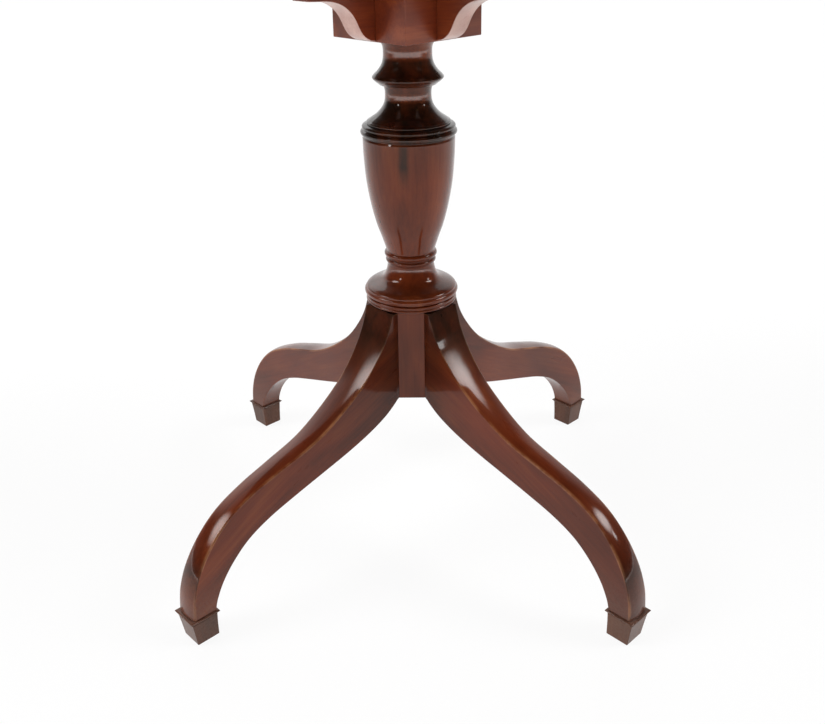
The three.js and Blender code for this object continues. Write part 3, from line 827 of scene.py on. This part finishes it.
def strap_recess(angle):
    """The space for a hinge strap in a rear arm's top, in the arm's own frame."""
    side = 1 if angle < 90 else -1
    recess = prism("recess", strap_outline(side, 0.25 * MM), ARM_TOP - 2 * MM, ARM_TOP + 5 * MM)
    recess.data.transform(Matrix.Rotation(-math.radians(angle), 4, "Z"))
    return recess


def bolt_bore():
    """The hole for the catch's bolt in the end of the front right arm."""
    return along_arm(rod("bore", 4 * MM, -12 * MM, 5 * MM, 32), ARM_END, 0, BOLT_Z)


def make_arm(quarter, offset):
    name = f"bearer_arm_{quarter}"
    outline = [(x * MM, z * MM) for x, z in arm_outline()]
    rings = [[(x, y, z) for x, z in reversed(outline)] for y in (-ARM_HALF_WIDTH, ARM_HALF_WIDTH)]
    arm = loft(f"{name}_bracket", rings)
    face_outward(arm)
    cutters = []
    if quarter.startswith("rear"):
        cutters.append(strap_recess(QUARTERS[quarter]))
    if quarter == "front_right":
        cutters.append(bolt_bore())
    if cutters:
        combine(arm, cutters, "DIFFERENCE")
    soften(arm, 0.6 * MM, 2, 40)
    set_grain(arm, (1, 0, 0.05), offset)
    shade(arm, 35)
    # Faces that point down take the paler arm-underside tones.
    for face in arm.data.polygons:
        face.material_index = int(face.normal.z < -0.15)
    dress(arm, [BLOCK_WOOD, ARM_UNDER], "pedestal", name, quarter_turn(quarter))


# ---- screws: each size is (head radius, shank radius, length)


def screw_shape(head, shank, length, extra=0.0):
    """A countersunk screw's outline, its head's face near height 0 and its point downwards."""
    cone = head - shank
    face = 0.02 * MM + extra
    return [
        (0, -length - extra),
        (shank * 0.25 + extra, -length + shank * 0.2),
        (shank + extra, -length + 2 * shank),
        (shank + extra, -cone),
        (head + extra, -0.15 * MM),
        (head + extra, face),
        (0, face),
    ]


def make_screw(node, head, shank, length, turn, material, slot, body):
    """A slotted screw where its CAD node is. turn is the matrix that places a screw drawn at the origin."""
    screw = lathe(f"{node}_slotted", screw_shape(head, shank, length), 40)
    slot_cut = block("slot", (-head * 2, -0.4 * MM, -0.75 * MM), (head * 2, 0.4 * MM, 1 * MM))
    combine(screw, [slot_cut], "DIFFERENCE")
    soften(screw, 0.12 * MM, 2, 35)
    set_grain(screw, (0, 0, 1), 0)
    shade(screw, 40)
    dress(screw, [material], body, node, turn)


def countersink(head, shank, length, place):
    """The hole that a screw sits in, a little larger than the screw all round."""
    hole = lathe("countersink", screw_shape(head, shank, length, 0.12 * MM), 40)
    hole.data.transform(place)
    return hole


# ---- the brace plate

DOWN = Matrix.Rotation(math.pi, 4, "X")
BRACE_SCREW = (3 * MM, 1.5 * MM, 16 * MM)
CENTRE_SCREW = (3.6 * MM, 1.8 * MM, 22 * MM)
BRACE_SCREW_REACH = 40 * MM


def make_brace():
    lo, hi = low("brace_plate"), high("brace_plate")
    radius = hi.x / math.cos(math.pi / 8)
    corners = [math.pi * (2 * i + 1) / 8 for i in range(8)]
    outline = [(radius * math.cos(angle), radius * math.sin(angle)) for angle in corners]
    plate = prism("brace_plate_iron", outline, lo.z, hi.z)
    face = Matrix.Translation((0, 0, lo.z)) @ DOWN
    places = {"centre": (CENTRE_SCREW, face)}
    out = Matrix.Translation((BRACE_SCREW_REACH, 0, 0))
    for quarter in QUARTERS:
        places[quarter] = (BRACE_SCREW, quarter_turn(quarter) @ out @ face)
    combine(plate, [countersink(*size, place) for size, place in places.values()], "DIFFERENCE")
    soften(plate, 0.4 * MM, 2, 40)
    set_grain(plate, (1, 0, 0), 0)
    shade(plate)
    dress(plate, [IRON], "pedestal", "brace_plate")
    for label, (size, place) in places.items():
        make_screw(f"brace_screw_{label}", *size, place, STEEL, "steel_screw", "pedestal")


# ---- the hinges

HINGE_Y, HINGE_Z = HINGE[1], HINGE[2]
BARREL = 3.1 * MM
BARREL_BORE = 1.6 * MM
PIN = 1.45 * MM
BARREL_HALF = high("hinge_strap_right").x - HINGE_Y
LEAF_KNUCKLE = 3.3 * MM
PLATE_TOP = HINGE_Z + BARREL
PLATE = 1.7 * MM
STRAP_START = 92 * MM
STRAP_HALF = 7 * MM
STRAP_SCREWS = (101 * MM, 124 * MM)
STRAP_SCREW = (2.8 * MM, 1.4 * MM, 13 * MM)
LEAF_SCREW = (2.8 * MM, 1.4 * MM, 12 * MM)
LEAF_REACH = 23 * MM
LEAF_SCREW_X = 5.4 * MM
LEAF_SCREW_Y = 14.5 * MM
SIDES = {"left": -1, "right": 1}

# Turns a prism so that its outline is in Y and Z and it runs along X.
ALONG_X = Matrix(((0, 0, 1, 0), (1, 0, 0, 0), (0, 1, 0, 0), (0, 0, 0, 1)))


def strap_point(side, outward, sideways):
    """A point so far out along a rear arm and so far to its side."""
    return (side * (outward - sideways) / math.sqrt(2), (outward + sideways) / math.sqrt(2))


def strap_outline(side, extra):
    """The strap runs along its arm and ends in a line parallel to X at the hinge's axis."""
    half = STRAP_HALF + extra
    reach = HINGE_Y * math.sqrt(2)
    outline = [
        strap_point(side, STRAP_START - extra, -half),
        strap_point(side, reach + half, -half),
        strap_point(side, reach - half, half),
        strap_point(side, STRAP_START - extra, half),
    ]
    return outline if side > 0 else outline[::-1]


def knuckle(name, x, radius, start, stop):
    """A short round bar along X on the hinge's axis, with slightly rounded ends."""
    ease = min(0.25 * MM, radius / 4)
    profile = [(0, start), (radius - ease, start), (radius, start + ease), (radius, stop - ease),
               (radius - ease, stop), (0, stop)]
    bar = lathe(name, profile, 48)
    bar.data.transform(Matrix.Translation((x, HINGE_Y, HINGE_Z)) @ Matrix.Rotation(math.pi / 2, 4, "Y"))
    return bar


def make_strap(label, side):
    x = side * HINGE_Y
    gap = LEAF_KNUCKLE + GAP
    strap = prism(f"hinge_strap_{label}_brass", strap_outline(side, 0), PLATE_TOP - PLATE, PLATE_TOP)
    notch = block("notch", (x - gap, HINGE_Y - BARREL - 0.5 * MM, 0), (x + gap, HINGE_Y + 0.01, 1))
    places = [Matrix.Translation((*strap_point(side, s, 0), PLATE_TOP)) for s in STRAP_SCREWS]
    combine(strap, [notch] + [countersink(*STRAP_SCREW, place) for place in places], "DIFFERENCE")
    ends = ((-BARREL_HALF, -gap), (gap, BARREL_HALF))
    combine(strap, [knuckle("barrel", x, BARREL, start, stop) for start, stop in ends], "UNION")
    combine(strap, [knuckle("bore", x, BARREL_BORE, -BARREL_HALF * 2, BARREL_HALF * 2)], "DIFFERENCE")
    soften(strap, 0.2 * MM, 2, 40)
    set_grain(strap, (1, 0, 0), 0)
    shade(strap, 40)
    dress(strap, [BRASS], "pedestal", f"hinge_strap_{label}")
    for i, place in enumerate(places):
        make_screw(f"strap_screw_{label}_{i + 1}", *STRAP_SCREW, place, BRASS, "brass", "pedestal")


def leaf_outline():
    """The leaf seen along the hinge's axis: a plate with its near edge rolled into the knuckle."""
    meet = math.degrees(math.asin((BARREL - PLATE) / BARREL))
    return [(LEAF_REACH, BARREL), *arc(0, 0, BARREL, 90, 360 + meet, 40), (LEAF_REACH, BARREL - PLATE)]


def make_leaf(label, side):
    x = side * HINGE_Y
    leaf = prism(f"hinge_leaf_{label}_brass", leaf_outline(), -BARREL_HALF, BARREL_HALF)
    leaf.data.transform(Matrix.Translation((x, HINGE_Y, HINGE_Z)) @ ALONG_X)
    notches = []
    for way in (-1, 1):
        near = x + way * LEAF_KNUCKLE
        far = x + way * (BARREL_HALF + 5 * MM)
        notches.append(block("notch", (min(near, far), HINGE_Y - 5 * MM, 0),
                             (max(near, far), HINGE_Y + BARREL + 0.5 * MM, 1)))
    bore = knuckle("bore", x, BARREL_BORE, -BARREL_HALF - MM, BARREL_HALF + MM)
    places = []
    for way in (-1, 1):
        spot = (x + way * LEAF_SCREW_X, HINGE_Y + LEAF_SCREW_Y, PLATE_TOP - PLATE)
        places.append(Matrix.Translation(spot) @ DOWN)
    holes = [countersink(*LEAF_SCREW, place) for place in places]
    combine(leaf, notches + [bore] + holes, "DIFFERENCE")
    soften(leaf, 0.15 * MM, 1, 40)
    set_grain(leaf, (1, 0, 0), 0)
    shade(leaf, 40)
    dress(leaf, [BRASS], "top", f"hinge_leaf_{label}")
    for i, place in enumerate(places):
        make_screw(f"leaf_screw_{label}_{i + 1}", *LEAF_SCREW, place, BRASS, "brass", "top")


def make_hinges():
    for label, side in SIDES.items():
        make_strap(label, side)
        make_leaf(label, side)
        pin = knuckle(f"hinge_pin_{label}_steel", side * HINGE_Y, PIN, -BARREL_HALF, BARREL_HALF)
        set_grain(pin, (1, 0, 0), 0)
        shade(pin, 40)
        dress(pin, [STEEL], "pedestal", f"hinge_pin_{label}")


# ---- the catch, drawn outward along X and turned on to the front right diagonal

BOLT_Z = 706 * MM
CATCH_TURN = quarter_turn("front_right")
CATCH_TOP = TOP_UNDERSIDE - GAP
CATCH_PLATE = 1.6 * MM
CATCH_SPAN = (158 * MM, 201 * MM)
CATCH_HALF = 13 * MM
LUG_STARTS = (162 * MM, 190 * MM)
LUG_THICK = 5 * MM
LUG_HALF = 5.5 * MM
LUG_BOTTOM = 701 * MM
CATCH_SCREW = (2.2 * MM, 1.1 * MM, 10 * MM)
CATCH_SCREWS = [(x * MM, way * 9.6 * MM) for x in (170.5, 197.8) for way in (-1, 1)]
BOLT_RADIUS = 3 * MM
BOLT_SPAN = (154.5 * MM, 216.5 * MM)
KNOB_X = 186 * MM
KEEPER_THICK = 1.6 * MM
KEEPER_HALF = 12 * MM
KEEPER_BORE = 3.6 * MM
KEEPER_SCREW = (2.4 * MM, 1.2 * MM, 12 * MM)
KEEPER_SCREWS = (-7.5 * MM, 7.5 * MM)
KEEPER_SCREW_Z = 697 * MM


def along_arm(obj, x, y, z):
    """Lays a piece drawn about Z along the arm, at a point in the arm's frame."""
    obj.data.transform(Matrix.Translation((x, y, z)) @ Matrix.Rotation(math.pi / 2, 4, "Y"))
    return obj


def make_catch_plate():
    plate = block("catch_plate_brass", (CATCH_SPAN[0], -CATCH_HALF, CATCH_TOP - CATCH_PLATE),
                  (CATCH_SPAN[1], CATCH_HALF, CATCH_TOP))
    lugs = []
    for x in LUG_STARTS:
        lug = block("lug", (x, -LUG_HALF, LUG_BOTTOM), (x + LUG_THICK, LUG_HALF, CATCH_TOP - CATCH_PLATE / 2))
        soften(lug, 1.6 * MM, 4, 40)
        lugs.append(lug)
    combine(plate, lugs, "UNION")
    face = CATCH_TOP - CATCH_PLATE
    places = [Matrix.Translation((x, y, face)) @ DOWN for x, y in CATCH_SCREWS]
    bore = along_arm(rod("bore", BOLT_RADIUS + 0.25 * MM, -0.05, 0.05), KNOB_X, 0, BOLT_Z)
    combine(plate, [bore] + [countersink(*CATCH_SCREW, place) for place in places], "DIFFERENCE")
    soften(plate, 0.25 * MM, 2, 40)
    set_grain(plate, (1, 0, 0), 0)
    shade(plate, 40)
    dress(plate, [BRASS], "top", "catch_plate", CATCH_TURN)
    for i, place in enumerate(places):
        make_screw(f"catch_screw_{i + 1}", *CATCH_SCREW, CATCH_TURN @ place, BRASS, "brass", "top")


def make_bolt():
    start, stop = BOLT_SPAN
    tip = [(0, start), (BOLT_RADIUS - 1.2 * MM, start), (BOLT_RADIUS - 0.4 * MM, start + 0.5 * MM),
           (BOLT_RADIUS, start + 1.6 * MM)]
    tail = [(BOLT_RADIUS, stop - 1 * MM), (BOLT_RADIUS - 0.8 * MM, stop), (0, stop)]
    bolt = along_arm(lathe("catch_bolt_rod", tip + tail, 56), 0, 0, BOLT_Z)
    set_grain(bolt, (1, 0, 0), 0)
    shade(bolt, 30)
    dress(bolt, [BRASS], "bolt", "catch_bolt", CATCH_TURN)
    make_knob()


def make_knob():
    """A ball on a short stem, which goes into the bolt. The outline is in millimetres."""
    ball = arc(0, 696.5, 3.6, -84, 58, 16)
    outline = [(0, 692.9), *ball, (1.5, 699.9), (1.4, 700.7), (1.4, 704.5), (0, 704.5)]
    knob = lathe("catch_knob_turned", [(r * MM, z * MM) for r, z in outline], 48)
    set_grain(knob, (0, 0, 1), 0)
    shade(knob, 35)
    dress(knob, [BRASS], "bolt", "catch_knob", CATCH_TURN @ Matrix.Translation((KNOB_X, 0, 0)))


def make_keeper():
    start = ARM_END + GAP
    face = start + KEEPER_THICK
    lo, hi = low("keeper_plate").z, high("keeper_plate").z
    plate = block("keeper_plate_brass", (start, -KEEPER_HALF, lo), (face, KEEPER_HALF, hi))
    outward = Matrix.Rotation(math.pi / 2, 4, "Y")
    places = [Matrix.Translation((face, y, KEEPER_SCREW_Z)) @ outward for y in KEEPER_SCREWS]
    bore = along_arm(rod("bore", KEEPER_BORE, -5 * MM, 5 * MM), face, 0, BOLT_Z)
    combine(plate, [bore] + [countersink(*KEEPER_SCREW, place) for place in places], "DIFFERENCE")
    soften(plate, 0.25 * MM, 2, 40)
    set_grain(plate, (1, 0, 0), 0)
    shade(plate, 40)
    dress(plate, [BRASS], "pedestal", "keeper_plate", CATCH_TURN)
    for i, place in enumerate(places):
        make_screw(f"keeper_screw_{i + 1}", *KEEPER_SCREW, CATCH_TURN @ place, BRASS, "brass", "pedestal")


# ---- the top

CORNER = 55 * MM
CORNER_STEPS = 14


def top_ring(inset, z):
    """The top's rounded outline, drawn in by inset."""
    x = high("tabletop").x - CORNER
    y = high("tabletop").y - CORNER
    radius = CORNER - inset
    ring = []
    for quarter, (cx, cy) in enumerate(((x, y), (-x, y), (-x, -y), (x, -y))):
        for i in range(CORNER_STEPS + 1):
            angle = (quarter + i / CORNER_STEPS) * math.pi / 2
            ring.append((cx + radius * math.cos(angle), cy + radius * math.sin(angle), z))
    return ring


def edge_profile():
    """(inset, rise) in millimetres up the edge: a flat, a cove, then a thumbnail nose."""
    cove = [(7.0 - z, 6.8 - x) for x, z in arc(0, 0, 4.6, 0, 90, 6)]
    nose = [(4.4 - x, 12.4 + 5.2 / 4.4 * z) for x, z in arc(0, 0, 4.4, -70, 90, 16)]
    return [(7.0, 0)] + cove + nose + [(5.2, 17.6), (5.2, 18.6), (6.4, 19.6), (7.6, 20)]


def make_top():
    rings = [top_ring(inset * MM, TOP_UNDERSIDE + rise * MM) for inset, rise in edge_profile()]
    top = loft("tabletop_board", rings)
    soften(top, 0.35 * MM, 2, 30)
    set_grain(top, (1, 0, 0), 0.31)
    shade(top, 32)
    for face in top.data.polygons:
        face.material_index = int(face.normal.z < -0.95)
    dress(top, [TOP_WOOD, RAW_WOOD], "top", "tabletop")


# ---- the studio

CAMERA_DISTANCE = 1.112
CAMERA_HEIGHT = 0.783
CAMERA_AZIMUTH = math.radians(1.3)
CAMERA_PITCH = math.radians(20.8)
CAMERA_ROLL = math.radians(0.92)


def make_camera():
    data = bpy.data.cameras.new("camera")
    data.lens = 41.6
    data.shift_x = 0.0019
    data.shift_y = -0.1186
    data.clip_start = 0.05
    data.clip_end = 60
    camera = bpy.data.objects.new("camera", data)
    bpy.context.scene.collection.objects.link(camera)
    a, p, r = CAMERA_AZIMUTH, CAMERA_PITCH, CAMERA_ROLL
    ahead = Vector((-math.sin(a) * math.cos(p), math.cos(a) * math.cos(p), -math.sin(p)))
    level = Vector((math.cos(a), math.sin(a), 0))
    rise = level.cross(ahead)
    right = math.cos(r) * level - math.sin(r) * rise
    up = math.sin(r) * level + math.cos(r) * rise
    turn = Matrix((right, up, -ahead)).transposed().to_4x4()
    place = Vector((CAMERA_DISTANCE * math.sin(a), -CAMERA_DISTANCE * math.cos(a), CAMERA_HEIGHT))
    camera.matrix_world = Matrix.Translation(place) @ turn
    bpy.context.scene.camera = camera


# The floor's brightness by distance from the column, as (share of FLOOR_REACH, brightness).
FLOOR_REACH = 8.0
FLOOR_AHEAD = [(0.30, 1.0), (0.345, 4.6), (0.47, 6.0), (0.80, 5.0), (0.95, 0.45)]
FLOOR_ASIDE = [(0.30, 1.0), (0.345, 3.2), (0.47, 5.0), (0.53, 0.45)]
FLOOR_BEHIND = (1.1, 1.1, 1.1, 1)
PLAIN_WHITE = (1.0, 1.0, 1.0, 1)


def floor_light(n):
    """The floor as the polish reflects it: brighter from 2.4 m away in front and at the sides."""
    place = n.place("Object")
    distance = n.math("DIVIDE", n.vector("LENGTH", "Value", place), FLOOR_REACH)
    aim = n.vector("NORMALIZE", "Vector", place)
    turned = n.span(n.part(aim, "Y"), -0.55, -0.2, 0.0, 1.0)
    front = n.mix(turned, n.grey_ramp(distance, FLOOR_AHEAD), n.grey_ramp(distance, FLOOR_ASIDE))
    behind = n.span(n.part(place, "Y"), 0.4, 1.8, 0.0, 1.0)
    return n.mix(behind, front, FLOOR_BEHIND)


def make_floor():
    """A pale floor that the camera sees as plain white."""
    bpy.ops.mesh.primitive_circle_add(vertices=96, radius=24, fill_type="NGON")
    floor = bpy.context.object
    floor.name = "studio_floor"
    material, n = new_material("studio_white")
    seen = n.add("ShaderNodeLightPath").outputs["Is Camera Ray"]
    diffuse = n.add("ShaderNodeBsdfDiffuse", {"Color": (0.9, 0.9, 0.9, 1)})
    glow = n.add("ShaderNodeEmission", {"Color": n.mix(seen, floor_light(n), PLAIN_WHITE), "Strength": 1.0})
    mixed = n.add("ShaderNodeMixShader", {0: 0.9, 1: diffuse, 2: glow})
    n.add("ShaderNodeOutputMaterial", {"Surface": mixed})
    floor.data.materials.append(material)


def heading(azimuth, elevation):
    """A direction from the column. Azimuth is in degrees from the front, positive to the right."""
    around, rise = math.radians(azimuth), math.radians(elevation)
    return Vector((math.sin(around) * math.cos(rise), -math.cos(around) * math.cos(rise), math.sin(rise)))


# Large soft sources: azimuth, elevation, half width in degrees and strength.
GLOWS = [(-76, 42, 19, 12.0), (90, 43, 16, 15.0), (-140, 45, 35, 1.2)]


def make_world():
    """A white wall behind the table, and elsewhere a dim room with the large soft sources in it.

    The camera sees plain white all round.
    """
    world = bpy.data.worlds.new("studio")
    world.use_nodes = True
    bpy.context.scene.world = world
    n = Nodes(world.node_tree)
    direction = n.place("Generated")
    level = n.span(n.part(direction, "Y"), 0.4, 0.75, 0.03, 1.1)
    for azimuth, elevation, spread, strength in GLOWS:
        towards = n.vector("DOT_PRODUCT", "Value", direction, heading(azimuth, elevation))
        glow = n.span(towards, math.cos(math.radians(spread)), 1.0, 0.0, strength, "SMOOTHSTEP")
        level = n.math("ADD", level, glow)
    seen = n.add("ShaderNodeLightPath").outputs["Is Camera Ray"]
    level = n.mix(seen, level, PLAIN_WHITE)
    background = n.add("ShaderNodeBackground", {"Color": level, "Strength": 1.0})
    n.add("ShaderNodeOutputWorld", {"Surface": background})


SOFTBOX_SIDE = 0.3
SOFTBOX_DISTANCE = 3
SOFTBOX_AIM = Vector((0, 0, 0.4))


def soft_light(name, azimuth, elevation, radiance):
    """A square softbox that faces the column."""
    aim = heading(azimuth, elevation)
    data = bpy.data.lights.new(name, "AREA")
    data.shape = "RECTANGLE"
    data.size = SOFTBOX_SIDE
    data.size_y = SOFTBOX_SIDE
    data.energy = radiance * SOFTBOX_SIDE**2 * math.pi
    light = bpy.data.objects.new(name, data)
    bpy.context.scene.collection.objects.link(light)
    turn = (-aim).to_track_quat("-Z", "Y").to_matrix().to_4x4()
    light.matrix_world = Matrix.Translation(SOFTBOX_AIM + SOFTBOX_DISTANCE * aim) @ turn


def make_lights():
    soft_light("softbox_left", -48, 20, 14)
    soft_light("softbox_right", 82, 20, 12)


# ---- everything together

make_camera()
make_top()
make_tilt_block()
make_column()
make_wedge()
make_post()
for number, quarter_name in enumerate(QUARTERS):
    make_leg(quarter_name, 0.37 * number + 0.2)
    make_collar(quarter_name, 0.23 * number + 1.1)
    make_foot(quarter_name, 0.41 * number + 2.3)
    make_arm(quarter_name, 0.29 * number + 3.1)
make_brace()
make_hinges()
make_catch_plate()
make_bolt()
make_keeper()
make_floor()
make_world()
make_lights()
bpy.context.scene.view_settings.view_transform = "Standard"
